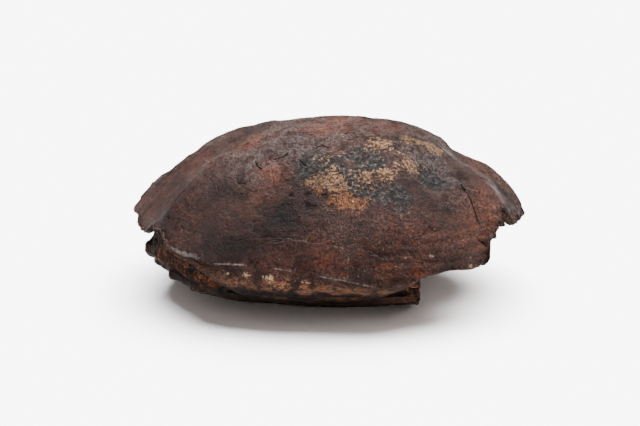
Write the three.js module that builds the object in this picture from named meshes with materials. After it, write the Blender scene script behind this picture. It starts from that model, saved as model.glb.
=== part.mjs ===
// An old turtle shell, whole and unjointed: the domed carapace with its two bridges, the plastron
// it rests on, and the hardened earth between them. Millimetres, +Z up, head end towards -X.
import * as THREE from "three";

// Driving sizes
const LENGTH = 143; // front rim to tail tip
const WIDTH = 104; // over the keels of the bridges
const HEIGHT = 64; // floor to crown
const CARAPACE_WALL = 4.2; // bone of the carapace
const PLASTRON_WALL = 4.2; // bone of the plastron
const GAP = 0.35; // clearance between neighbouring pieces
const SHRINKAGE = 0.45; // the earth has dried away from the dome by this much more
const PLAN_POWER = 2.2; // oval of the plan: 2 is an ellipse, more is squarer

// Fineness of the rings
const COLUMNS = 88;
const DOME_RINGS = 11;
const INNER_RINGS = 11;
const PLATE_RINGS = 6;
const EARTH_RINGS = 6;

const { clamp, lerp, radToDeg, smoothstep } = THREE.MathUtils;
const halfLength = LENGTH / 2;
const halfWidth = WIDTH / 2;

// Monotone curve through [x, y] pairs, level beyond its ends.
function curve(...pairs) {
  const last = pairs.length - 1;
  const step = (i) => pairs[i + 1][0] - pairs[i][0];
  const rise = (i) => (pairs[i + 1][1] - pairs[i][1]) / step(i);
  const slopes = pairs.map((_, i) => {
    const [before, after] = [rise(Math.max(0, i - 1)), rise(Math.min(last - 1, i))];
    return before * after > 0 ? (2 * before * after) / (before + after) : 0;
  });
  return (x) => {
    const at = clamp(x, pairs[0][0], pairs[last][0]);
    const i = pairs.findLastIndex(([start], k) => k < last && start <= at);
    const t = (at - pairs[i][0]) / step(i);
    const u = 1 - t;
    return (
      pairs[i][1] * (1 + 2 * t) * u * u +
      pairs[i + 1][1] * (3 - 2 * t) * t * t +
      step(i) * t * u * (slopes[i] * u - slopes[i + 1] * t)
    );
  };
}

// Rim height as a share of the height, by the angle from the tail: 0 tail, 90 side, 180 head.
const rimShare = curve(
  [0, 0.445], [30, 0.41], [50, 0.34], [60, 0.355], [66, 0.345], [72, 0.303], [78, 0.297],
  [90, 0.348], [100, 0.39], [111, 0.406], [122, 0.392], [131, 0.42], [139, 0.465],
  [146, 0.505], [158, 0.525], [180, 0.515],
);
// Height of the seam between bridge and plastron, likewise.
const seamShare = curve([66, 0.17], [90, 0.2], [100, 0.212], [120, 0.205]);
// Rise of the dome from rim (0) to crown (1), by the share of the way out to the rim.
const frontRise = curve(
  [0, 1], [0.126, 0.977], [0.28, 0.935], [0.434, 0.832], [0.59, 0.706], [0.748, 0.497],
  [0.829, 0.352], [0.909, 0.206], [0.958, 0.106], [0.986, 0.032], [1, 0],
);
const rearRise = curve(
  [0, 1], [0.179, 0.98], [0.333, 0.932], [0.487, 0.856], [0.565, 0.769], [0.646, 0.645],
  [0.724, 0.555], [0.804, 0.493], [0.874, 0.392], [0.944, 0.245], [0.983, 0.115], [1, 0],
);
const sideRise = (out) => Math.pow(Math.max(0, 1 - Math.pow(out, 2.3)), 1 / 1.75);

// How much of the way out is broken off the edge, on the near (-Y) side and on the far side.
const nearBreak = curve(
  [0, 0], [12, 0.015], [23, 0.02], [32, 0.035], [38, 0.033], [41, 0.022], [44, 0.008],
  [48, 0], [138, 0], [148, 0.008], [154, 0.002], [166, 0.012], [172, 0.004], [180, 0],
);
const farBreak = curve(
  [0, 0], [18, 0.004], [30, 0.014], [42, 0.006], [52, 0], [140, 0], [152, 0.01], [172, 0.006], [180, 0],
);
// 1 where the carapace turns under as a bridge, 0 where its edge is broken off.
const nearBridge = (angle) => smoothstep(angle, 67, 81) * (1 - smoothstep(angle, 112, 130));
const farBridge = (angle) => smoothstep(angle, 66, 74) * (1 - smoothstep(angle, 114, 126));
// Turn of a bridge from keel to seam: shares of the half width inwards, and of the drop.
const UNDER = [[0.02, 0.3], [0.062, 0.58], [0.118, 0.82], [0.175, 1]];
// The same two shares on the way along the inner side of a bridge.
const INNER = [[0.17, 0.32], [0.52, 0.72]];

// Outline of the plastron away from the bridges, as a share of the way out to the rim.
const plateReach = curve(
  [0, 0.41], [12, 0.43], [24, 0.45], [36, 0.51], [47, 0.6], [56, 0.7], [63, 0.8], [70, 0.815],
  [118, 0.81], [128, 0.815], [139, 0.845], [150, 0.88], [160, 0.905], [172, 0.915], [180, 0.9],
);
const plateSeam = (angle) => smoothstep(angle, 62, 70) * (1 - smoothstep(angle, 116, 127));
// Height of its underside at that outline, and the level part of the way there.
const plateShare = curve(
  [0, 0], [30, 0.004], [45, 0.02], [58, 0.09], [68, 0.165], [112, 0.2], [124, 0.175], [136, 0.155],
  [148, 0.19], [160, 0.215], [180, 0.2],
);
const plateLevel = curve([0, 0.42], [118, 0.42], [150, 0.5], [180, 0.5]);

// Reach of the earth under the dome and over the plastron, and its bulge past the near bridge.
const earthDome = curve(
  [0, 0.22], [25, 0.24], [45, 0.34], [58, 0.55], [67, 0.9], [72, 1], [134, 1], [150, 0.955],
  [165, 0.91], [180, 0.9],
);
const earthPlate = curve([0, 0.9], [40, 0.9], [62, 0.97], [70, 1], [124, 1], [136, 0.985], [180, 0.985]);
const earthBulge = (at) => (at.near ? 0.055 * halfWidth * smoothstep(at.angle, 60, 67) * (1 - at.bridge) ** 4 * (1 - smoothstep(at.angle, 72, 84)) : 0);

// What a ring needs to know at one turn about the middle of the plan.
function station(turn) {
  const [c, s] = [Math.cos(turn), Math.sin(turn)];
  const angle = radToDeg(Math.acos(clamp(c, -1, 1)));
  const near = s < 0;
  const [u, v] = [Math.sign(c) * Math.abs(c) ** (2 / PLAN_POWER), Math.sign(s) * Math.abs(s) ** (2 / PLAN_POWER)];
  const slope = PLAN_POWER - 1;
  const rise = (out) =>
    Math.max(0, -c) ** 2 * frontRise(out) + Math.max(0, c) ** 2 * rearRise(out) + s * s * sideRise(out);
  const edge = 1 - (near ? nearBreak : farBreak)(angle);
  const rimZ = HEIGHT * rimShare(angle);
  const edgeZ = lerp(rimZ, HEIGHT, rise(edge));
  const under = UNDER.map(([i, d]) => [i * halfWidth, d * (edgeZ - HEIGHT * seamShare(angle))]);
  const [a, b] = under.slice(-2);
  return {
    angle,
    near,
    rim: new THREE.Vector2(u * halfLength, v * halfWidth),
    out: new THREE.Vector2(
      (Math.sign(u) * Math.abs(u) ** slope) / halfLength,
      (Math.sign(v) * Math.abs(v) ** slope) / halfWidth,
    ).normalize(),
    rise,
    edge,
    rimZ,
    edgeZ,
    bridge: (near ? nearBridge : farBridge)(angle),
    under,
    seam: b,
    seamSlope: new THREE.Vector2(b[0] - a[0], b[1] - a[1]).normalize(),
  };
}
const stations = Array.from({ length: COLUMNS }, (_, i) => station((2 * Math.PI * i) / COLUMNS));
const ring = (point) => stations.map(point);
const shares = (count) => Array.from({ length: count }, (_, i) => Math.sin((0.5 * Math.PI * i) / (count - 1)));

// Point of the dome, so deep below its outer skin.
function domePoint(at, out, depth) {
  const plan = at.rim.clone().addScaledVector(at.out, -depth).multiplyScalar(out);
  return new THREE.Vector3(plan.x, plan.y, lerp(at.rimZ, HEIGHT - depth, at.rise(out)));
}

// Point so far in from the broken edge or the keel, and so far down.
function edgePoint(at, inward, down) {
  const plan = at.rim.clone().multiplyScalar(at.edge).addScaledVector(at.out, -inward);
  return new THREE.Vector3(plan.x, plan.y, at.edgeZ - down);
}

// Seam between a bridge and the plastron: so far through the bone, and so far along it.
function seamPoint(at, through, along) {
  const { x, y } = at.seamSlope;
  return edgePoint(at, at.seam[0] + through * y + along * x, at.seam[1] - through * x + along * y);
}

// Rings over the edge of the carapace, where a bridge fades into a plain broken edge.
function edgeRings(wall) {
  const count = UNDER.length + INNER.length + 3;
  return Array.from({ length: count }, (_, k) =>
    ring((at) => {
      const inner = [at.seam[0] + wall * at.seamSlope.y, at.seam[1] - wall * at.seamSlope.x];
      const bridge = [
        [0, 0],
        ...at.under,
        inner,
        ...INNER.toReversed().map(([i, d]) => [lerp(wall, inner[0], i), d * inner[1]]),
        [wall, 0],
      ];
      const t = k / (count - 1);
      const round = 0.5 * wall * Math.sqrt(t - t * t);
      const [inward, down] = bridge[k];
      return edgePoint(at, lerp(t * wall, inward, at.bridge), lerp(round, down, at.bridge));
    }),
  );
}

// Point of the plastron: so far out to its outline, and so high above its underside.
function platePoint(at, out, high) {
  const seamed = plateSeam(at.angle);
  const reach = plateReach(at.angle);
  const rim = new THREE.Vector3(at.rim.x * reach, at.rim.y * reach, HEIGHT * plateShare(at.angle));
  const { x, y, z } = rim.lerp(seamPoint(at, 0, GAP), seamed);
  const level = plateLevel(at.angle);
  const lift = (Math.max(0, out - level) / (1 - level)) ** 1.8;
  const lean = seamed * out ** 3;
  const through = new THREE.Vector3(
    -lean * at.out.x * at.seamSlope.y,
    -lean * at.out.y * at.seamSlope.y,
    lerp(1, at.seamSlope.x, lean),
  ).normalize();
  return new THREE.Vector3(x * out, y * out, z * lift).addScaledVector(through, high);
}

// Closed skin over rings of points; the first and the last ring are single points.
function skin(rings) {
  const points = [rings[0][0], ...rings.slice(1, -1).flat(), rings.at(-1)[0]];
  const last = points.length - 1;
  const faces = [];
  for (let j = 0; j < COLUMNS; j++) {
    const k = (j + 1) % COLUMNS;
    faces.push(0, 1 + j, 1 + k, last, last - COLUMNS + k, last - COLUMNS + j);
    for (let i = 1; i + COLUMNS < last; i += COLUMNS) {
      faces.push(i + j, i + COLUMNS + j, i + COLUMNS + k, i + j, i + COLUMNS + k, i + k);
    }
  }
  const geometry = new THREE.BufferGeometry().setFromPoints(points);
  geometry.setIndex(faces);
  geometry.computeVertexNormals();
  return geometry;
}

function carapace() {
  const edge = edgeRings(CARAPACE_WALL);
  const inside = (at, j, out) => {
    const short = edge.at(-1)[j].clone().sub(domePoint(at, at.edge, CARAPACE_WALL));
    return domePoint(at, out * at.edge, CARAPACE_WALL).addScaledVector(short, out ** 6);
  };
  return skin([
    ...shares(DOME_RINGS).slice(0, -1).map((out) => ring((at) => domePoint(at, out * at.edge, 0))),
    ...edge,
    ...shares(INNER_RINGS).reverse().slice(1).map((out) => ring((at, j) => inside(at, j, out))),
  ]);
}

function plastron() {
  const steps = shares(PLATE_RINGS);
  const swell = (at) => 0.2 * PLASTRON_WALL * (1 - plateSeam(at.angle));
  const middle = ring((at) => {
    const { x, y, z } = platePoint(at, 1, PLASTRON_WALL / 2);
    return new THREE.Vector3(x + at.out.x * swell(at), y + at.out.y * swell(at), z);
  });
  return skin([
    ...steps.map((out) => ring((at) => platePoint(at, out, PLASTRON_WALL))),
    middle,
    ...steps.toReversed().map((out) => ring((at) => platePoint(at, out, 0))),
  ]);
}

function earth() {
  const steps = shares(EARTH_RINGS);
  const depth = CARAPACE_WALL + GAP + SHRINKAGE;
  const height = Math.max(CARAPACE_WALL, PLASTRON_WALL) + GAP;
  const top = (at, out) => domePoint(at, out * earthDome(at.angle), depth);
  const bottom = (at, out) => platePoint(at, out * earthPlate(at.angle), height);
  const side = INNER.map(([inward, down]) =>
    ring((at) => {
      const [from, to] = [top(at, 1), bottom(at, 1)];
      const bulge = earthBulge(at);
      return new THREE.Vector3(
        lerp(from.x, to.x, inward) + at.out.x * bulge,
        lerp(from.y, to.y, inward) + at.out.y * bulge,
        lerp(from.z, to.z, down),
      );
    }),
  );
  return skin([
    ...steps.map((out) => ring((at) => top(at, out))),
    ...side,
    ...steps.toReversed().map((out) => ring((at) => bottom(at, out))),
  ]);
}

const shell = new THREE.Group();
function add(name, geometry, color) {
  const piece = new THREE.Mesh(geometry, new THREE.MeshStandardMaterial({ color, roughness: 0.7 }));
  piece.name = name;
  shell.add(piece);
}
add("carapace", carapace(), 0x6b3f2e);
add("plastron", plastron(), 0x3a2a22);
add("earth_fill", earth(), 0x8a5a34);

export default shell;
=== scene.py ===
"""An old turtle shell, dark red-brown, lying on its plastron on a pale floor: the carapace with its
bridges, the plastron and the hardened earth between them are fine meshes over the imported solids."""
import math

import bpy
import numpy as np
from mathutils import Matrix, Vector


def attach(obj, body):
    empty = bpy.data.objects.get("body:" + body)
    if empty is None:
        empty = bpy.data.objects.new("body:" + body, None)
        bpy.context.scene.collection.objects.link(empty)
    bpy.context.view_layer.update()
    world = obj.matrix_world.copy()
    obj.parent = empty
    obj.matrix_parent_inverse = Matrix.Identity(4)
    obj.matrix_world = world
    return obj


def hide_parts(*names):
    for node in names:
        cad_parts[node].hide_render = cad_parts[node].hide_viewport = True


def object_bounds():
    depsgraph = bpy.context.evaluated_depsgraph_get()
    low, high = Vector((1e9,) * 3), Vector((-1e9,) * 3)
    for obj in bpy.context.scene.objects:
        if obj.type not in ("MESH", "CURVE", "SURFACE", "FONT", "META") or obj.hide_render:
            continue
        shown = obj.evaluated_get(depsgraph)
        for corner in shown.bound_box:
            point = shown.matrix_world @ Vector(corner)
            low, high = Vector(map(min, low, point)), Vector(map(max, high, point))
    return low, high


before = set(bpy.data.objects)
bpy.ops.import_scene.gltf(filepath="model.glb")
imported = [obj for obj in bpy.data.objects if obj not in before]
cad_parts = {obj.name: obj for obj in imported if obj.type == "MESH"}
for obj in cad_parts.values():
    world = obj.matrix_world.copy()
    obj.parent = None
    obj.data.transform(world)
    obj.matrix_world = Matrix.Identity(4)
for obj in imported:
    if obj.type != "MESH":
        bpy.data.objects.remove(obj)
start_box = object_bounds()

# Sizes in millimetres; +Z up, head end towards -X. Length, width and height are those of the solids
LENGTH, WIDTH, HEIGHT = np.round(1000 * (np.array(start_box[1]) - np.array(start_box[0])), 2)
CARAPACE_WALL = PLASTRON_WALL = 4.2
GAP, PLAN_POWER = 0.35, 2.2
# The turned-under side: shares of half the width inwards, and of the drop from keel to seam
UNDER = [(0.02, 0.3), (0.062, 0.58), (0.118, 0.82), (0.175, 1.0)]
INNER = [(0.17, 0.32), (0.52, 0.72)]
# Small forms that only the fine meshes carry: the far front corner further out, the near rim lower in
# front and at the shoulder, the swollen near flank, and the plastron's longer rear corner
CORNER_OUT, FRONT_DROP, SHOULDER_DROP, BELLY, REAR_CORNER = 6.2, 5.2, 1.8, 3.6, 2.3
# The skin unrolled: millimetres for each radian round the rim, and from crown to rim
ROUND, DOWN = 60, 85
# Millimetres from a drawn line beyond which its distance isn't told apart
LINE_REACH = 3
# Stretches of the rim in degrees from the tail, as start, full, fading and end
NEAR_BRIDGE, FAR_BRIDGE = (67, 81, 112, 130), (66, 74, 114, 126)
SEAM_STRETCH, BELLY_STRETCH, REAR_STEPS = (62, 70, 116, 127), (80, 104, 120, 146), (12, 20, 43, 48)


def curve(*pairs):
    """Monotone cubic through (x, y) pairs, level beyond its ends; a point's slope is the harmonic mean of
    the straight slopes on both sides, or 0 where they differ in sign."""
    xs, ys = (np.array(v, float) for v in zip(*pairs))
    step, last = np.diff(xs), len(xs) - 1
    rise = np.diff(ys) / step
    each = np.arange(last + 1)
    before, after = rise[np.maximum(0, each - 1)], rise[np.minimum(last - 1, each)]
    with np.errstate(divide="ignore", invalid="ignore"):
        slope = np.where(before * after > 0, 2 * before * after / (before + after), 0)

    def at(x):
        x = np.clip(x, xs[0], xs[-1])
        i = np.clip(np.searchsorted(xs, x, side="right") - 1, 0, last - 1)
        t = (x - xs[i]) / step[i]
        u = 1 - t
        return (ys[i] * (1 + 2 * t) * u * u + ys[i + 1] * (3 - 2 * t) * t * t
                + step[i] * t * u * (slope[i] * u - slope[i + 1] * t))

    return at


def smooth(x, low, high):
    """0 below low, 1 above high, s-shaped between."""
    t = np.clip((x - low) / (high - low), 0, 1)
    return t * t * (3 - 2 * t)


def span(x, start, full, fading, end):
    """0 outside start and end, 1 from full to fading, s-shaped between."""
    return smooth(x, start, full) * (1 - smooth(x, fading, end))


def bump(x, middle, width):
    """1 at the middle, fading to nothing a few widths away."""
    return np.exp(-(((x - middle) / width) ** 2))


def mix(a, b, t):
    """a at t = 0, b at t = 1, in a straight line."""
    return a + (b - a) * t


# Heights of the keel and of the seam, as shares of the whole height over the degrees from the tail
rim_share = curve(
    (0, 0.445), (30, 0.41), (50, 0.34), (60, 0.355), (66, 0.345), (72, 0.303), (78, 0.297), (90, 0.348),
    (100, 0.39), (111, 0.406), (122, 0.392), (131, 0.42), (139, 0.465), (146, 0.505), (158, 0.525),
    (180, 0.515))
seam_share = curve((66, 0.17), (90, 0.2), (100, 0.212), (120, 0.205))
# Climb of the dome over the share of the way out, towards head and tail
front_rise = curve(
    (0, 1), (0.126, 0.977), (0.28, 0.935), (0.434, 0.832), (0.59, 0.706), (0.748, 0.497), (0.829, 0.352),
    (0.909, 0.206), (0.958, 0.106), (0.986, 0.032), (1, 0))
rear_rise = curve(
    (0, 1), (0.179, 0.98), (0.333, 0.932), (0.487, 0.856), (0.565, 0.769), (0.646, 0.645), (0.724, 0.555),
    (0.804, 0.493), (0.874, 0.392), (0.944, 0.245), (0.983, 0.115), (1, 0))
# Share of the way out to the rim that is broken off, over the degrees from the tail
near_break = curve(
    (0, 0), (12, 0.015), (20, 0.02), (27, 0.022), (33, 0.03), (37, 0.034), (41, 0.012), (44, 0), (49, 0),
    (54, 0), (138, 0), (148, 0.004), (154, 0.001), (166, 0.003), (172, 0.002), (180, 0))
far_break = curve(
    (0, 0), (18, 0.004), (30, 0.014), (42, 0.006), (52, 0), (140, 0), (152, 0), (172, 0.006), (180, 0))
# Plastron over the same degrees: its reach as a share of the plan, the height of its rim as a share of the
# whole, and the share of the way out where it starts to rise
plate_reach = curve(
    (0, 0.41), (12, 0.43), (24, 0.45), (36, 0.51), (47, 0.6), (56, 0.7), (63, 0.8), (70, 0.815), (118, 0.81),
    (128, 0.815), (139, 0.845), (150, 0.88), (160, 0.905), (172, 0.915), (180, 0.9))
plate_share = curve(
    (0, 0), (30, 0.004), (45, 0.02), (58, 0.09), (68, 0.165), (112, 0.2), (124, 0.175), (136, 0.155),
    (148, 0.19), (160, 0.215), (180, 0.2))
plate_level = curve((0, 0.42), (118, 0.42), (150, 0.5), (180, 0.5))
# Reach of the earth under the dome and over the plastron
earth_dome = curve(
    (0, 0.22), (25, 0.24), (45, 0.34), (58, 0.55), (67, 0.9), (72, 1), (134, 1), (150, 0.955),
    (165, 0.91), (180, 0.9))
earth_plate = curve((0, 0.9), (40, 0.9), (62, 0.97), (70, 1), (124, 1), (136, 0.985), (180, 0.985))


class Stations:
    """What the rings need to know at each turn round the middle of the plan, one entry per column. The plan
    is the curve |x / half length|^p + |y / half width|^p = 1. chips, for the carapace alone, is a function
    that gives the share of the way out that is broken off."""

    def __init__(self, turn, chips=None):
        c, s = np.cos(turn), np.sin(turn)
        self.turn, self.c, self.s = turn, c, s
        self.angle = np.degrees(np.arccos(np.clip(c, -1, 1)))
        self.near = s < 0
        u = np.sign(c) * np.abs(c) ** (2 / PLAN_POWER)
        v = np.sign(s) * np.abs(s) ** (2 / PLAN_POWER)
        self.rim = np.stack([u * LENGTH / 2, v * WIDTH / 2], -1)
        out = np.stack([np.sign(u) * np.abs(u) ** (PLAN_POWER - 1) / LENGTH,
                        np.sign(v) * np.abs(v) ** (PLAN_POWER - 1) / WIDTH], -1)
        self.out = out / np.linalg.norm(out, axis=-1, keepdims=True)
        a = self.angle
        self.bridge = np.where(self.near, span(a, *NEAR_BRIDGE), span(a, *FAR_BRIDGE))
        self.edge = 1 - np.where(self.near, near_break(a), far_break(a))
        self.rim_z = HEIGHT * rim_share(a)
        if chips is not None:
            self.edge = self.edge - chips(self)
            self.rim = self.rim + self.out * (CORNER_OUT * bump(a, 154, 8.5) * (s > 0))[:, None]
            self.rim[:, 0] = np.maximum(self.rim[:, 0], -LENGTH / 2)
            lower = FRONT_DROP * bump(a, 158, 13) + SHOULDER_DROP * bump(a, 135, 8)
            self.rim_z = self.rim_z - lower * (s < 0)
        self.edge_z = mix(self.rim_z, HEIGHT, self.rise(self.edge))
        drop = self.edge_z - HEIGHT * seam_share(a)
        self.under = [(i * WIDTH / 2 + 0 * drop, d * drop) for i, d in UNDER]
        (ax, ay), (bx, by) = self.under[-2:]
        size = np.hypot(bx - ax, by - ay)
        self.seam, self.slope = (bx, by), ((bx - ax) / size, (by - ay) / size)
        self.seamed = span(a, *SEAM_STRETCH)
        self.belly = BELLY * self.near * span(a, *BELLY_STRETCH)

    def rise(self, out):
        """Share of the climb from rim to crown: (1 - out^2.3)^(1 / 1.75) at the sides, and the drawn curves
        towards head and tail, weighed by the squares of the sine and cosine of the turn."""
        side = np.maximum(0, 1 - out ** 2.3) ** (1 / 1.75)
        return (np.maximum(0, -self.c) ** 2 * front_rise(out) + np.maximum(0, self.c) ** 2 * rear_rise(out)
                + self.s ** 2 * side)

    def dome(self, out, depth=0.0):
        """Points of the dome at a share of the way out to the rim, so deep below its outer skin."""
        plan = (self.rim - depth * self.out) * np.asarray(out)[..., None]
        return np.dstack([plan, mix(self.rim_z, HEIGHT - depth, self.rise(out))])

    def edge_point(self, inward, down):
        """Points so far in from the broken edge or the keel, and so far down."""
        inward = np.asarray(inward)
        plan = self.rim * self.edge[:, None] - self.out * inward[..., None]
        return np.dstack([plan, self.edge_z - down])

    def seam_point(self, through, along):
        """Points so far in through the wall at the seam, and so far along it past the carapace's edge."""
        x, y = self.slope
        inward = self.seam[0] + through * y + along * x
        return self.edge_point(np.atleast_2d(inward), self.seam[1] - through * x + along * y)

    def plate(self, out, high):
        """Points of the plastron, so far out to its outline and so high above its underside."""
        reach = plate_reach(self.angle)
        rim = np.stack([self.rim[:, 0] * reach, self.rim[:, 1] * reach, HEIGHT * plate_share(self.angle)], -1)
        rim = mix(rim, self.seam_point(0, GAP)[0], self.seamed[:, None])
        level = plate_level(self.angle)
        lift = (np.maximum(0, out - level) / (1 - level)) ** 1.8
        lean = self.seamed * out ** 3
        through = np.dstack([-lean * self.out[:, 0] * self.slope[1], -lean * self.out[:, 1] * self.slope[1],
                             mix(1, self.slope[0], lean)])
        through = through / np.linalg.norm(through, axis=-1, keepdims=True)
        base = np.dstack([rim[:, 0] * out, rim[:, 1] * out, rim[:, 2] * lift])
        return base + through * np.asarray(high)[..., None]


# Whole numbers that scatter the places of the noise's grid, and the bits kept of the result
SCATTER = np.array([374761393, 668265263, 1442695041])
LOW_BITS, SIXTEEN_BITS = 0x7FFFFFFF, 0xFFFF


def lattice_noise(points, size, seed=0):
    """Value noise in -1..1 over points (..., 3): values scattered by whole-number products and shifts on a
    grid of that size, eased between by 3 f^2 - 2 f^3."""
    q = points / size
    cell = np.floor(q).astype(np.int64)
    f = q - cell
    f = f * f * (3 - 2 * f)
    total = 0.0
    for corner in np.ndindex(2, 2, 2):
        i = cell + corner
        n = i @ SCATTER + seed * 974634777
        n = ((n ^ (n >> 13)) * 1274126177) & LOW_BITS
        n = ((n ^ (n >> 15)) * 668265263) & LOW_BITS
        weight = np.prod(np.where(np.array(corner) == 1, f, 1 - f), axis=-1)
        total = total + weight * ((n >> 7) & SIXTEEN_BITS)
    return total / (SIXTEEN_BITS / 2) - 1


def rough(points, size, octaves=4, seed=0, gain=0.5):
    """Sum of octaves of lattice noise, each half the size and gain times as strong."""
    return sum(gain**k * lattice_noise(points, size / 2**k, seed + k) for k in range(octaves))


# Scute furrows of the near side, as (degrees from the tail, share of the way down from the crown)
MARGIN = [(-147, 0.682), (-141, 0.732), (-135, 0.787), (-129, 0.802), (-121, 0.851), (-116, 0.839),
          (-107, 0.819), (-101, 0.826), (-96, 0.826), (-88, 0.821), (-82, 0.826), (-78, 0.856)]
SHOULDER = [(-147, 0.682), (-147, 0.63), (-146, 0.553), (-143, 0.496), (-145, 0.405), (-148, 0.33)]
SHORT = [[(-129, 0.802), (-134, 0.861), (-139, 0.99)], [(-98, 0.821), (-98, 0.896), (-97, 1.0)],
         [(-88, 0.821), (-87, 0.866), (-87, 0.978)],
         [(-32, 0.484), (-42, 0.472), (-51, 0.472), (-57, 0.516), (-58, 0.546)],
         [(-48, 0.603), (-51, 0.628), (-54, 0.653)],
         [(-85, 0.816), (-84, 0.826), (-82, 0.839), (-80, 0.839)], [(-78, 0.839), (-77, 0.866), (-74, 0.898)],
         [(-110, 0.926), (-108, 0.876), (-106, 0.851), (-101, 0.841)],
         [(-139, 0.948), (-137, 0.888), (-134, 0.834)]]
CRACKS = [[(-38, 0.581), (-41, 0.625), (-42, 0.675), (-43, 0.722), (-44, 0.759)],
          [(-47, 0.831), (-46, 0.851), (-45, 0.882)], [(-113, 0.409), (-112, 0.397), (-110, 0.377)],
          [(-102, 0.414), (-100, 0.432), (-97, 0.449)], [(-122, 0.434), (-119, 0.459), (-116, 0.479)],
          [(-82, 0.246), (-80, 0.246), (-76, 0.238)], [(-97, 0.313), (-94, 0.303), (-91, 0.315)],
          [(-32, 0.191), (-31, 0.201)], [(-48, 0.082), (-50, 0.099)],
          [(-124, 0.529), (-122, 0.534), (-120, 0.543)], [(-27, 0.34), (-22, 0.36)],
          [(-8, 0.46), (-3, 0.49)]]
# Furrows of the far side, in keeping with the near side's: the margin, three across and the short ones
FAR_FURROWS = [[(d, 0.82 + 0.02 * math.cos(d / 9)) for d in range(20, 161, 10)],
               [(150, 0.7), (147, 0.55), (146, 0.42)], [(112, 0.84), (115, 0.6), (122, 0.36)],
               [(82, 0.83), (80, 0.6), (74, 0.33)], [(52, 0.84), (48, 0.62), (40, 0.42)],
               *[[(d, 0.84), (d + 1, 0.98)] for d in (28, 46, 64, 84, 104, 124, 142, 158)]]

# Soft forms of the carapace: each is x, y, z, radius and strength
DENTS = [(-35, -35, 46, 12, 1), (-45, -33, 41, 9, 0.5), (40, -24, 50, 6, 0.9), (14, -30, 55, 6, 0.5),
         (33, -30, 49, 7, 0.6)]
SWELLINGS = [(-24, -26, 57, 9, 1), (-16, -40, 48, 6, 0.8), (6, -36, 52, 8, 0.7), (55, -24, 43, 8, 0.9),
             (34, -16, 57, 6, 0.8)]
FAR_FRONT_DENT = [(-61, 20, 42, 8, 1), (-54, 20, 48, 7, 0.6)]
CROWN_LUMPS = [(29, 6, 61, 8, 1), (17, 6, 63, 11, 0.9), (6, 6, 64, 9, 0.5), (-24, 8, 61, 6, 0.3),
               (42, 6, 56, 4.5, 0.8), (52, 6, 50, 6, 0.3), (66, 14, 42, 11, 1.3), (65, 20, 43, 8, 0.9),
               (68, 26, 38, 7, 0.8), (44, 16, 55, 6, 0.7)]
PITTED = [(45, -6, 52, 12, 1), (22, -5, 62, 14, 0.7), (-8, -36, 52, 12, 0.8)]
PINHOLE = (-35, -43, 36, 0.9, 1)

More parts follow.
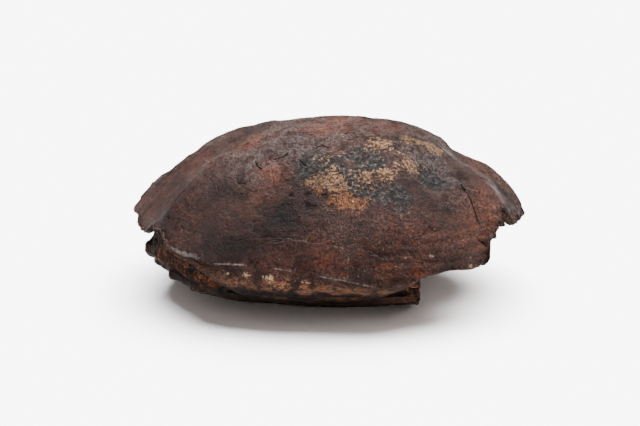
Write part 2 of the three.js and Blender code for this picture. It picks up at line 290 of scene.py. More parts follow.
# Patches of colour on the carapace, in the same form
PATCHES = {
    "ochre": [(15, -21, 60, 4.2, 0.9), (26, -28, 54, 4.2, 1), (27, -13, 60, 4, 0.9),
              (33, -14, 58, 4.5, 0.95), (38, -13, 56, 4.5, 0.95), (-5, -39, 50, 4.2, 0.85),
              (0, -38, 51, 4.2, 0.85), (3, -39, 49, 3, 0.8), (11, -36, 51.5, 3.8, 0.9),
              (18, -34, 52.5, 4.2, 0.95), (-2, -31, 56, 5, 0.55), (20, -22, 58, 7, 0.45)],
    "orange": [(0, -43, 45, 3, 1), (5, -43, 45, 3.2, 1), (10, -43, 44, 3, 0.9), (4, -41, 47, 3, 0.5),
               (-5, -41, 48, 4, 0.6), (16, -42, 44, 4, 0.3), (14, -36, 50, 4, 0.6), (-1, -47, 39, 5, 0.4)],
    "crust": [(-8, -34, 54, 5, 1), (-4, -36, 53, 4, 0.9), (6, -38, 50, 4.5, 1), (9, -40, 48, 4, 1),
              (-1, -33, 55, 5, 0.8), (14, -31, 54, 6, 0.75), (32, -29, 50, 5, 0.7),
              (38, -28, 48, 6.5, 0.62), (22, -39, 46, 6, 0.8), (0, -41, 46, 4, 0.6), (8, -27, 58, 9, 0.45),
              (22, -21, 58, 10, 0.5), (-8, -28, 57, 7, 0.4), (12, -40, 46, 9, 0.45),
              (36, -14, 56, 8, 0.35)],
    "red": [(-19, -36, 52, 4, 0.6), (-17, -42, 46, 4.5, 0.5), (-21, -33, 55, 3, 0.8),
            (-23, -41, 45, 3, 0.5), (-14, -45, 42, 3, 0.5), (-28, -12, 59, 8, 0.9), (-4, -10, 63, 8, 0.9),
            (5, -2, 64, 8, 0.8), (54, -25, 42, 7, 0.4), (-3, -51, 29, 4, 0.8), (4, -51, 26, 3, 0.7),
            (17, -50, 25, 4, 0.7), (28, -49, 23, 3.5, 0.7), (10, -49, 31, 3.5, 0.5), (40, -41, 35, 9, 0.35),
            (49, -34, 36, 8, 0.5), (22, -46, 35, 9, 0.35), (-56, -30, 39, 7, 0.5), (-45, -12, 53, 8, 0.6),
            (20, -6, 63, 8, 0.5), (-10, -50, 33, 7, 0.4), (62, 0, 44, 9, 0.3)],
    "warm": [(-52, -33, 38, 14, 1), (-33, -42, 40, 14, 1), (-15, -47, 35, 12, 0.7), (-60, -25, 38, 9, 0.6)],
    # A painted sheen: paler patches where the top light reflects off the upper dome and the shoulder ridges
    "painted_sheen": [(-19, -16, 60, 17, 1), (5, -5, 64, 22, 0.85), (-42, -16, 53, 10, 0.6), (-27, -29, 53, 6, 0.8),
             (-8, -30, 57, 5, 0.6), (38, -25, 49, 6, 0.8), (38, -8, 57, 12, 0.7), (62, -10, 42, 9, 0.4),
             (24, -24, 56, 9, 0.6), (36, -28, 48, 8, 0.8), (58, -20, 43, 5, 0.6), (33, -20, 55, 10, 0.5)],
    "matt": [(-62, 4, 40, 16, 1), (-52, 0, 50, 9, 0.7), (68, 8, 38, 12, 1), (60, 4, 45, 8, 0.8),
             (67, -6, 40, 9, 0.9), (50, 0, 51, 7, 0.8), (42, 4, 55, 6, 0.8), (58, -3, 46, 7, 0.8),
             (64, -10, 40, 6, 0.7)],
    "fleck": [(32, -47, 28, 0.9, 1), (31, -46.5, 29, 0.6, 0.8), (29, -45, 36, 0.6, 0.8),
              (31, -48, 24, 0.7, 0.8), (-47, -35, 39, 0.6, 1), (-64, -24, 35, 0.7, 0.8),
              (-37, -41, 38, 0.7, 0.8), (46, -42, 23, 1.2, 0.7)],
}
# Where the whole colour is darker, and where it is lighter
DARKER = [(-56, -30, 39, 9, 0.6), (-33, -33, 48, 8, 0.15), (-60, -28, 36, 9, 0.45), (46, -20, 50, 7, 0.4),
          (-40, -34, 44, 9, 0.7), (-29, -48, 30, 8, 0.7), (-40, -44, 32, 8, 0.65), (-15, -47, 38, 9, 0.5),
          (-8, -51, 31, 7, 0.4), (-13, -38, 51, 5, 0.4), (-12, -44, 44, 7, 0.5), (-41, -5, 55, 12, 0.45),
          (-20, -44, 40, 9, 0.5), (12, -47, 36, 6, 0.35), (36, -40, 40, 8, 0.4), (27, -36, 46, 8, 0.45),
          (62, -14, 40, 6, 0.3), (66, 5, 42, 10, 0.4), (44, -20, 51, 8, 0.2), (27, -8, 61, 8, 0.3),
          (30, -48, 30, 10, 0.1), (-33, -47, 26, 9, 0.15), (-54, -36, 34, 6, 0.3), (-31, -50, 24, 10, 0.08),
          (42, -36, 39, 8, 0.25), (49, -32, 38, 6, 0.12), (15, -49.5, 26, 7, 0.35), (7, -50, 29, 6, 0.25),
          (23, -50, 22, 6, 0.2), (-36, -39, 38, 7, 0.25)]
LIGHTER = [(7, -29, 56, 8, 0.55), (16, -28, 54, 8, 0.5), (-11, -31, 55, 6, 0.4), (-3, -33, 54, 5, 0.4),
           (22, -38, 45, 6, 0.15), (-27, -49, 23, 5, 0.7), (-19, -50, 23, 6, 0.8), (57, -28, 36, 5, 0.35),
           (24, -25, 56, 6, 0.2), (-10, -50, 20, 5, 0.25)]


def skin_uv(turn, down):
    """Unrolled place on the dome in millimetres: round the rim, and down from the crown."""
    return np.stack([turn * ROUND + 0 * down, down * DOWN + 0 * turn], -1)


def line_distance(uv, lines):
    """Distance in millimetres from each unrolled point to the nearest of the lines, with the sign of the
    side on which it lies."""
    best, side = np.full(uv.shape[:-1], 1e3), np.ones(uv.shape[:-1])
    for line in lines:
        pts = skin_uv(np.radians([p[0] for p in line]), np.array([p[1] for p in line]))
        for a, b in zip(pts[:-1], pts[1:]):
            pa, ba = uv - a, b - a
            h = np.clip((pa @ ba) / (ba @ ba), 0, 1)
            far = np.linalg.norm(pa - h[..., None] * ba, axis=-1)
            side = np.where(far < best, np.where(pa[..., 1] * ba[0] > pa[..., 0] * ba[1], 1, -1), side)
            best = np.minimum(best, far)
    return best * side


def blobs(points, *places):
    """Soft patches: the sum of strength * exp(-(distance / radius)^2) over the places, at most 1.3."""
    total = 0.0
    for x, y, z, radius, strength in places:
        total = total + strength * np.exp(-(((points - (x, y, z)) / radius) ** 2).sum(-1))
    return np.clip(total, 0, 1.3)


def normals(grid):
    """Outward normals of a grid of points, as the cross product of its steps down and across: rows run
    from the top pole down and under, columns counter-clockwise."""
    across = np.roll(grid, -1, axis=1) - np.roll(grid, 1, axis=1)
    down = np.gradient(grid, axis=0)
    n = np.cross(down, across)
    n[0], n[-1] = (0, 0, 1), (0, 0, -1)
    size = np.linalg.norm(n, axis=-1, keepdims=True)
    return n / np.maximum(size, 1e-9)


def build(name, grid, uv, paint):
    """Closed mesh over a grid whose first and last rows are single points; paint holds float attributes."""
    rows, columns = grid.shape[:2]
    i, j = np.meshgrid(np.arange(rows - 1), np.arange(columns), indexing="ij")
    corners = [(i, j), (i + 1, j), (i + 1, j + 1), (i, j + 1)]
    quads = np.stack([r * columns + c % columns for r, c in corners], -1)
    spots = np.stack([r * (columns + 1) + c for r, c in corners], -1)
    order = np.arange(rows * columns)
    order[:columns], order[-columns:] = 0, rows * columns - columns

    def loops(table):
        return np.concatenate([table[0][:, :3].ravel(), table[1:-1].ravel(), table[-1][:, [0, 1, 3]].ravel()])

    used, index = np.unique(loops(order[quads]), return_inverse=True)
    counts = np.full((rows - 1) * columns, 4)
    counts[:columns] = counts[-columns:] = 3
    wrapped = np.concatenate([uv, uv[:, :1] + (2 * math.pi * ROUND, 0)], axis=1).reshape(-1, 2)
    mesh = bpy.data.meshes.new(name)
    mesh.vertices.add(len(used))
    mesh.vertices.foreach_set("co", (grid.reshape(-1, 3)[used] / 1000).astype(np.float32).ravel())
    mesh.loops.add(len(index))
    mesh.loops.foreach_set("vertex_index", index.ravel().astype(np.int32))
    mesh.polygons.add(len(counts))
    mesh.polygons.foreach_set("loop_start", np.concatenate([[0], np.cumsum(counts)[:-1]]).astype(np.int32))
    mesh.update(calc_edges=True)
    mesh.polygons.foreach_set("use_smooth", np.ones(len(counts), bool))
    mesh.uv_layers.new(name="skin").data.foreach_set("uv", wrapped[loops(spots)].astype(np.float32).ravel())
    for key, value in paint.items():
        layer = mesh.attributes.new(key, "FLOAT", "POINT")
        whole = np.broadcast_to(value, (rows, columns)).reshape(-1)
        layer.data.foreach_set("value", whole[used].astype(np.float32))
    piece = bpy.data.objects.new(name, mesh)
    bpy.context.collection.objects.link(piece)
    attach(piece, "root")
    return piece


def spline(values, k):
    """Catmull-Rom through rows of values, read at the places k."""
    i = np.clip(k.astype(int), 0, len(values) - 2)
    t = (k - i)[:, None]
    p = [values[np.clip(i + d, 0, len(values) - 1)] for d in (-1, 0, 1, 2)]
    return 0.5 * (2 * p[1] + (p[2] - p[0]) * t + (2 * p[0] - 5 * p[1] + 4 * p[2] - p[3]) * t**2
                  + (3 * p[1] - p[0] - 3 * p[2] + p[3]) * t**3)


def turns(near, far):
    """Angles round the plan, from the head over the near side to the tail and back on the far side."""
    return np.concatenate([np.linspace(-np.pi, 0, near, endpoint=False),
                           np.linspace(0, np.pi, far, endpoint=False)])


def chips(at):
    """Small pieces missing from the broken edges, as a share of the way out to the rim: rough teeth, single
    notches, and steps cut off from a sine of the angle near the rear."""
    around = np.stack([at.angle * 0.9, np.where(at.near, 0.0, 40.0), 0 * at.angle], -1)
    teeth = np.maximum(0, rough(around, 5.5, 4, seed=5, gain=0.65)) ** 1.2
    tooth = 0.02 - 0.006 * at.near * (at.angle > 90)
    broken = np.clip(smooth(at.angle, 133, 142) + 1 - smooth(at.angle, 40, 52), 0, 1)
    notch = 0.03 * bump(at.angle, 179, 2)
    notch = notch + at.near * (0.012 * bump(at.angle, 167, 1.5) + 0.02 * bump(at.angle, 150, 1.8))
    steps = 0.015 * np.clip(np.sin(at.angle * 0.95) * 3, 0, 1) * span(at.angle, *REAR_STEPS)
    return broken * (tooth * teeth + notch + np.where(at.near, steps, 0.5 * steps))


def carapace_rings(at):
    """Rings of the carapace's closed wall: out from the crown over the dome, round the keel and under to
    the seam by a spline, then back one wall deeper. Returns the points, and how far down each lies, from
    0 at the crown and 1 at the keel to past 2 at the crown's underside."""
    zero, wall = 0 * at.turn, CARAPACE_WALL
    down = np.linspace(0, 1, 112)[:, None] + zero
    dome = at.dome(np.sin(0.5 * np.pi * down[:-1]) * at.edge)
    (seam_in, seam_down), (x, y) = at.seam, at.slope
    inner_in, inner_down = seam_in + wall * y, seam_down - wall * x
    inward = np.stack([zero, *[u[0] for u in at.under], inner_in,
                       *[mix(wall, inner_in, i) for i, _ in INNER[::-1]], zero + wall])
    drop = np.stack([zero, *[u[1] for u in at.under], inner_down,
                     *[d * inner_down for _, d in INNER[::-1]], zero])
    last = len(inward) - 1
    k = np.linspace(0, last, 30)
    t = (k / last)[:, None]
    edge = at.edge_point(mix(t * wall, spline(inward, k), at.bridge),
                         mix(0.5 * wall * np.sqrt(t - t * t), spline(drop, k), at.bridge))
    back = np.sin(0.5 * np.pi * np.linspace(1, 0, 32)[1:, None]) * at.edge
    short = edge[-1] - at.dome(at.edge[None], wall)[0]
    inside = at.dome(back, wall) + short * (back / at.edge)[..., None] ** 6
    down = np.concatenate([down[:-1], 1 + 0.35 * t + zero, 1.35 + 0.8 * (1 - back / at.edge)])
    return np.concatenate([dome, edge, inside]), down


def carapace_lines(base, uv):
    """Signed distances to the drawn furrows and cracks and plain ones to the far furrows, in millimetres,
    after noise has made the skin's unrolled places wander."""
    wander = uv + 1.3 * np.stack([rough(base, 6, 3, 51), rough(base, 6, 3, 52)], -1)
    drawn = {"margin": [MARGIN], "shoulder": [SHOULDER], "short": SHORT, "crack": CRACKS}
    near_lines = {name: line_distance(wander, lines) for name, lines in drawn.items()}
    return near_lines, np.abs(line_distance(wander, FAR_FURROWS))


def carapace_relief(at, base, down, lines, far_furrow, mids, pits):
    """Height of the skin over its rings, in millimetres: noise in three sizes, growth ridges as a sine of
    the height, and the keel, furrows, cracks, dents and pits as bumps of the distance to them."""
    x, y, z = np.moveaxis(base, -1, 0)
    near = smooth(-y, 0, 6)
    lumps, fines = rough(base, 24, 3, 1), rough(base, 2.6, 2, 3)
    growth = np.sin(z * 2.1 + 2.2 * rough(base * (0.35, 1, 1), 9, 2, 7))
    growth = growth * smooth(x, -5, 30) * smooth(down, 0.7, 0.8) * near
    off_middle = np.abs(y + 1.2 * lattice_noise(base * (1, 0, 0), 12, 4))
    keel = bump(off_middle, 0, 4.5) * (0.45 + 0.25 * np.sin(x / 4.3)) * smooth(np.abs(x), 0, 20)
    height = 0.5 * lumps + 0.34 * mids + 0.13 * fines + 0.2 * growth + 0.5 * keel
    furrow = np.min([np.abs(lines[name]) for name in ("margin", "shoulder", "short")], axis=0)
    height -= 0.14 * bump(furrow, 0, 0.8) + 0.3 * bump(far_furrow, 0, 0.9) * (1 - near * (down > 0.1))
    height -= 0.7 * bump(np.abs(lines["crack"]), 0, 0.55)
    height += 0.8 * blobs(base, *SWELLINGS) - 1.5 * blobs(base, *DENTS) - 2.6 * blobs(base, *FAR_FRONT_DENT)
    shoulder = np.abs(lines["shoulder"])
    height += 0.3 * np.tanh(4 * lines["shoulder"]) * bump(shoulder, 0, 2.5) * (shoulder < 20)
    height += 0.6 * bump(down, 1.0, 0.014) * at.bridge
    height += 0.8 * pits - 0.8 * blobs(base, PINHOLE) + 1.3 * blobs(base, *CROWN_LUMPS)
    return height


def carapace_paint(at, base, down, lines, mids, pits):
    """Weights for the material's layers: the listed patches, bands of the way down for the worn keel and its
    painted highlight, the flank under it and the seam, painted shade in the hollows and pits, and the
    distances to the lines."""
    x, y, _ = np.moveaxis(base, -1, 0)
    near = smooth(-y, 0, 6)
    front, side = span(at.angle, 124, 130, 150, 158), span(at.angle, 66, 74, 126, 132)
    teeth = rough(np.stack([at.angle + 90 * at.near, 0 * at.turn, 0 * at.turn], -1), 3.5, 3, 61)
    # Pale worn spot on the front rim, and a thin painted highlight line along the keel in front and on the
    # near bridge
    wear_and_highlight = 1.3 * bump(down, 0.966, 0.032) * (bump(at.angle, 130.5, 6.5) + 0.15 * bump(at.angle, 143, 6))
    wear_and_highlight += 0.7 * front * bump(down, 1.0, 0.01)
    wear_and_highlight += 1.1 * side * bump(down, 1.0, 0.007) * (0.45 + 0.55 * smooth(rough(base, 7, 2, 21), -0.35, 0.1))
    wear_and_highlight = at.near * wear_and_highlight
    dust = sum(share * bump(at.angle, middle, width) for middle, width, share in
               ((105, 3, 0.9), (98, 4, 0.5), (111, 2, 0.8), (92, 7, 0.45), (116, 2, 0.85)))
    under = smooth(down + 0.015 * mids, 1.02, 1.08) * (1 - smooth(down + 0.02 * teeth, 1.11, 1.135))
    seam = smooth(down + 0.03 * teeth + 0.015 * mids, 1.105, 1.13) * (1 - smooth(down, 1.2, 1.25))
    broken = smooth(at.angle, 148, 155) + 0.7 * span(at.angle, 12, 20, 44, 49)
    chipped = smooth(down + 0.02 * mids, 0.93, 0.95) * broken
    darker = 0.85 * blobs(base, *DARKER) * mix(0.35, 1, near) * (1 - np.clip(wear_and_highlight, 0, 1))
    return {
        **{name: blobs(base, *spots) for name, spots in PATCHES.items()},
        "fibre": 0.15 + 0.85 * smooth(x, -5, 25) * smooth(down, 0.6, 0.78) * near,
        # Painted shade: darker where the relief sinks, and in its pits and the pinhole
        "hollow": np.clip(-mids, -1, 1),
        "pit": -pits + blobs(base, PINHOLE),
        "wear_and_highlight": wear_and_highlight,
        "dust": at.near * bump(down, 1.05, 0.02) * dust,
        "under": (1 + 2.0 * bump(at.angle, 90, 14)) * under * at.bridge,
        "seam": seam * at.bridge,
        "chipped": at.near * chipped,
        "tone": 1 - darker + 0.9 * blobs(base, *LIGHTER),
        **{name: np.clip(away, -LINE_REACH, LINE_REACH) for name, away in lines.items()},
        **{name + "_reach": np.minimum(np.abs(away), LINE_REACH) for name, away in lines.items()},
    }


def make_carapace():
    """Carapace: its rings with the relief laid along their normals, fainter under and inside. The near
    flank then swells straight out, and nothing passes the solids' box."""
    at = Stations(turns(300, 160), chips)
    base, down = carapace_rings(at)
    uv = skin_uv(at.turn[None, :], down)
    lines, far_furrow = carapace_lines(base, uv)
    mids = rough(base, 7.5, 3, 2)
    pits = np.minimum(0, rough(base, 2.6, 3, 11) + 0.55) * (0.6 + blobs(base, *PITTED))
    height = carapace_relief(at, base, down, lines, far_furrow, mids, pits)
    outer = 1 - smooth(down, 1.12, 1.2)
    lift = (height - 0.55) * mix(0.25, 1, outer) * mix(1, 0.6, smooth(down, 1.0, 1.1))
    grid = base + normals(base) * lift[..., None]
    flank = at.belly * span(down, 1.02, 1.14, 1.4, 1.7)
    grid[..., :2] += at.out * flank[..., None]
    grid = np.clip(grid, (-LENGTH / 2, -WIDTH / 2, 0), (LENGTH / 2, WIDTH / 2, HEIGHT))
    grid[0], grid[-1] = grid[0].mean(0), grid[-1].mean(0)
    return build("carapace_bone", grid, uv, carapace_paint(at, base, down, lines, mids, pits))


def rear_corner(at, base):
    """How far the plastron and the earth on it reach back at the near rear corner, rising with height."""
    return REAR_CORNER * at.near * bump(at.angle, 66, 5) * smooth(base[..., 2], 3, 11)


def make_plastron():
    """Plastron: rings out over its top, round its rim and back under, with noise along their normals and
    teeth on the broken rim; its side follows the swollen flank."""
    at = Stations(turns(220, 140))
    wall = PLASTRON_WALL
    t = np.linspace(0, 1, 60)[:, None] + 0 * at.turn
    out = np.sin(0.5 * np.pi * t)
    top_t, top_out = np.concatenate([t[::3], t[-1:]]), np.concatenate([out[::3], out[-1:]])
    rim = np.linspace(0, 1, 12)[1:-1, None] + 0 * at.turn
    rounded = at.plate(np.ones_like(rim), (1 - rim) * wall)
    rounded[..., :2] += at.out * (0.4 * np.sqrt(rim - rim**2) * wall * (1 - at.seamed))[..., None]
    base = np.concatenate([at.plate(top_out, wall + 0 * top_t), rounded, at.plate(out[::-1], 0 * t)])
    down = np.concatenate([0 * top_t, rim, 2 - t[::-1]])
    lumps, mids = rough(base, 16, 3, 31), rough(base, 4, 3, 32)
    flat = smooth(base[..., 2], 0.3, 2.5)
    teeth = 0.5 * rough(np.stack([at.angle, 0 * at.angle, 0 * at.angle], -1), 3, 2, 33)
    height = (0.35 * lumps + 0.25 * mids - 0.45) * mix(0.05, 1, flat)
    height += bump(down, 0.5, 0.5) * teeth * 0.8 * (1 - at.seamed)
    height += 1.3 * at.near * smooth(at.angle, 132, 142) * rough(base, 5, 3, 35) * bump(down, 0.6, 0.6)
    grid = base + normals(base) * height[..., None]
    outer = np.concatenate([smooth(top_out, 0.86, 1), 1 + 0 * rim, 1 - smooth(2 - t[::-1], 1.1, 1.6)])
    grid[..., :2] += at.out * (at.belly * outer)[..., None]
    grid[..., 0] += rear_corner(at, base)
    grid[..., 2] = np.maximum(grid[..., 2], 0)
    grid[0], grid[-1] = grid[0].mean(0), grid[-1].mean(0)
    crust = smooth(base[..., 2], 4.5, 9) * at.seamed * smooth(at.angle, 70, 84)
    paint = {
        # Painted shade: darker where the relief sinks
        "hollow": np.clip(-mids, -1, 1),
        "worn": blobs(base, (-64, -9, 13, 4, 1), (-63, -15, 14, 3, 0.8)),
        "fleck": at.near * blobs(base, (-26, -40, 8, 4, 0.8), (-20, -41, 7, 4, 1), (-12, -43, 7, 4, 0.5),
                                 (4, -44, 7, 5, 0.4), (-45, -32, 9, 6, 0.4)),
        "crust": crust * smooth(rough(base * (0.6, 1, 1), 6, 3, 34), -0.5, 0.4),
        "side": smooth(base[..., 2], 2, 6),
        # Painted light: the near rear corner lies in the overhang's shade and is painted up to three times
        # lighter
        "tone": 1 + 2.0 * at.near * bump(at.angle, 66, 10) + 0 * down,
    }
    return build("plastron_bone", grid, skin_uv(at.turn[None, :], down), paint)


def make_earth():
    """Earth: rings out under the dome, down its open side by a spline and back over the plastron, with
    rough noise where it lies open; its side follows the flank and the plastron's rear corner."""
    at = Stations(turns(230, 150))
    depth = CARAPACE_WALL + GAP
    open_front = smooth(at.angle, 118, 136)
    reach_top, reach_low = earth_dome(at.angle), earth_plate(at.angle) + 0.02 * open_front
    t = np.sin(0.5 * np.pi * np.linspace(0, 1, 26))[:, None]
    top = at.dome(t * reach_top, depth)
    low = at.plate(t[::-1] * reach_low, depth - 0.9 + 0 * t * at.turn)
    last = len(INNER) + 1
    k = np.linspace(0, last, 44)[1:-1]
    inward, drop = (spline(np.array([[0.0], *[[pair[i]] for pair in INNER], [1.0]]), k) for i in (0, 1))
    bulge = span(at.angle, 60, 67, 72, 84) * (1 - at.bridge) ** 4
    bulge = np.where(at.near, 0.1 * WIDTH / 2 * bulge, 0)
    bulge = np.sin(np.pi * np.clip(k / last, 0, 1))[:, None] ** 0.5 * bulge
    a, b = top[-1], low[0]
    side = np.dstack([mix(a[:, 0], b[:, 0], inward) + at.out[:, 0] * bulge,
                      mix(a[:, 1], b[:, 1], inward) + at.out[:, 1] * bulge, mix(a[:, 2], b[:, 2], drop)])
    base = np.concatenate([top, side, low])
    flat = 0 * t * at.turn
    down = np.concatenate([flat, (k / last)[:, None] + 0 * at.turn, 2 - t[::-1] + flat])
    open_end = np.clip(np.sin(np.pi * np.clip(down, 0, 1)), 0, 1) ** 0.4
    lumps, mids, fines = rough(base * (1, 1, 1.5), 9, 4, 41), rough(base, 3.2, 3, 42), rough(base, 1.4, 2, 43)
    height = (1.1 * lumps + 0.7 * mids + 0.4 * fines) * open_end - 0.1
    height += 1.1 * open_front * bump(down, 0.75, 0.3)
    height += 2.4 * blobs(base, (-65, -8, 18.5, 2.4, 1), (-64, -9, 14.5, 2.2, 0.9), (-66, -3, 22, 2, 0.5))
    grid = base + normals(base) * height[..., None]
    grid[0], grid[-1] = grid[0].mean(0), grid[-1].mean(0)
    swell = (at.belly + 1.2 * at.near * bump(at.angle, 128, 9)) * span(down, 0.35, 0.85, 1.05, 1.3)
    grid[..., :2] += at.out * swell[..., None]
    grid[..., 0] += rear_corner(at, base) * (1 - smooth(base[..., 2], 18, 25))
    paint = {
        # Painted shade: darker where the relief sinks
        "hollow": np.clip(-lumps - 0.5 * mids, -1, 1),
        # Painted light: the near rear corner, in the overhang's shade, is painted lighter
        "tone": 1.4 + 2.2 * at.near * bump(at.angle, 66, 12) + 0 * down,
        "worn": blobs(base, (-64, -9, 15, 4, 0.8), (-63, -14, 16, 3, 0.6)),
    }
    return build("hardened_earth", grid, skin_uv(at.turn[None, :], down), paint)


class Wire:
    """A value in a material's node tree; arithmetic on it adds math nodes."""

    def __init__(self, tree, socket):
        self.tree, self.socket = tree, socket

    def math(self, operation, *others, clamp=False):
        """This value and the others through one Math node."""
        node = self.tree.nodes.new("ShaderNodeMath")
        node.operation, node.use_clamp = operation, clamp
        for slot, value in zip(node.inputs, (self, *others)):
            plug(self.tree, slot, value)
        return Wire(self.tree, node.outputs[0])

    def __add__(self, other):
        return self.math("ADD", other)

    def __sub__(self, other):
        return self.math("SUBTRACT", other)

    def __mul__(self, other):
        return self.math("MULTIPLY", other)

    def __rsub__(self, other):
        return (self * -1) + other

    __radd__, __rmul__ = __add__, __mul__

    def clip(self):
        """Held between 0 and 1."""
        return self.math("ADD", 0.0, clamp=True)

    def step(self, low, high):
        """0 below low, 1 above high, s-shaped between."""
        node = self.tree.nodes.new("ShaderNodeMapRange")
        node.interpolation_type = "SMOOTHSTEP"
        for slot, value in zip(node.inputs, (self, low, high, 0.0, 1.0)):
            plug(self.tree, slot, value)
        return Wire(self.tree, node.outputs[0])


def plug(tree, slot, value):
    """Links a wire to a socket, or sets the socket to a number, a vector or an opaque colour."""
    if isinstance(value, Wire):
        tree.links.new(value.socket, slot)
    elif isinstance(value, tuple) and len(value) == 3 and slot.type == "RGBA":
        slot.default_value = (*value, 1)
    else:
        slot.default_value = value


class Surface:
    """A material: its node tree, its main shader and the ways to add to them."""

    def __init__(self, name, **constants):
        self.material = bpy.data.materials.new(name)
        self.material.use_nodes = True
        self.tree = self.material.node_tree
        self.shader = self.tree.nodes["Principled BSDF"]
        for key, value in constants.items():
            self.shader.inputs[key.replace("_", " ")].default_value = value
        self.place = self.node("ShaderNodeTexCoord", output="Object")

    def node(self, kind, inputs=(), output=0, **settings):
        """One output of a new node, with its settings made first and its sockets filled next."""
        node = self.tree.nodes.new(kind)
        for key, value in settings.items():
            setattr(node, key, value)
        for key, value in dict(inputs).items():
            plug(self.tree, node.inputs[key], value)
        return Wire(self.tree, node.outputs[output])

    def noise(self, millimetres, detail=4.0, roughness=0.6, stretch=(1, 1, 1), shift=0.0):
        """Noise in 0..1 with patches about that wide."""
        place = self.node("ShaderNodeMapping", {"Vector": self.place, "Scale": stretch,
                                                "Location": (shift, 0, 0)})
        return self.node("ShaderNodeTexNoise", {"Vector": place, "Scale": 1000 / millimetres,
                                                "Detail": detail, "Roughness": roughness})

    def paint(self, name):
        """A float attribute of the mesh."""
        return self.node("ShaderNodeAttribute", output="Fac", attribute_name=name)

    def blend(self, low, high, share):
        """low * (1 - share) + high * share for colours."""
        return self.node("ShaderNodeMix", {0: share, 6: low, 7: high}, output=2, data_type="RGBA")

    def line(self, name, thin, wide):
        """1 where the signed distance to a line is under thin, 0 past wide; the plain distance leaves out
        the places far from it where the sign flips."""
        away = self.paint(name).math("ABSOLUTE")
        return (1 - away.step(thin, wide)) * (1 - self.paint(name + "_reach").step(0.7, 1.2))

    def finish(self, color, roughness, height, strength, distance, depth):
        """Wires the shader up; depth scales the colour, well below 1 to suit the bright pale set."""
        color = self.node("ShaderNodeVectorMath", {0: color, "Scale": depth}, operation="SCALE")
        plug(self.tree, self.shader.inputs["Base Color"], color)
        plug(self.tree, self.shader.inputs["Roughness"], roughness)
        normal = self.node("ShaderNodeBump", {"Height": height, "Strength": strength, "Distance": distance})
        plug(self.tree, self.shader.inputs["Normal"], normal)
        return self.material


# Colours as linear red, green and blue; a pair is a layer's dark and light grain
BROWN = (0.052, 0.024, 0.02), (0.14, 0.066, 0.05)
RED, WARM, FIBRE = (0.44, 0.115, 0.05), (0.19, 0.052, 0.03), (0.2, 0.085, 0.052)
# The dark streak colour, then the pale colour of the painted sheen on the upper dome
SOOT, GREY = (0.018, 0.01, 0.009), (0.24, 0.19, 0.18)
CRUST = (0.02, 0.0185, 0.018), (0.14, 0.132, 0.128)
OCHRE = (0.2, 0.1, 0.055), (0.47, 0.27, 0.145)
ORANGE = (0.18, 0.065, 0.025), (0.42, 0.165, 0.06)
UNDERSIDE, CHIPPED = (0.42, 0.185, 0.1), ((0.05, 0.026, 0.018), (0.3, 0.19, 0.13))
# Dust, the dark seam, and the pale colour of the worn front rim and of the painted highlight along the keel
DUST, SEAM, RUBBED_AND_HIGHLIGHT = (0.9, 0.6, 0.4), (0.008, 0.005, 0.004), (0.5, 0.45, 0.42)
# Pale specks, pale grit, and the near-black of the painted shade in hollows and pits, also laid on dark grain
SPECK, GRIT, HOLLOW = (0.62, 0.42, 0.3), (0.55, 0.4, 0.31), (0.01, 0.006, 0.005)
HAIRLINE, SPLIT = (0.36, 0.27, 0.23), (0.006, 0.004, 0.004)
PLATE = (0.014, 0.006, 0.005), (0.05, 0.021, 0.014)
PLATE_SIDE, PLATE_EARTH, PLATE_FLECK = (0.22, 0.1, 0.055), (0.42, 0.17, 0.06), (0.8, 0.42, 0.2)
# Pale grit, the near-black of the painted shade in the plastron's hollows, and a worn pale brown
PLATE_GRIT, PLATE_HOLLOW, WORN = (0.5, 0.36, 0.27), (0.006, 0.004, 0.003), (0.42, 0.3, 0.24)
EARTH = (0.05, 0.016, 0.009), (0.2, 0.062, 0.028)
# Clods, the near-black of the painted shade in the earth's hollows, and pale grit
EARTH_CLOD, EARTH_HOLLOW, EARTH_GRIT = (0.56, 0.24, 0.11), (0.008, 0.004, 0.003), (0.8, 0.52, 0.33)


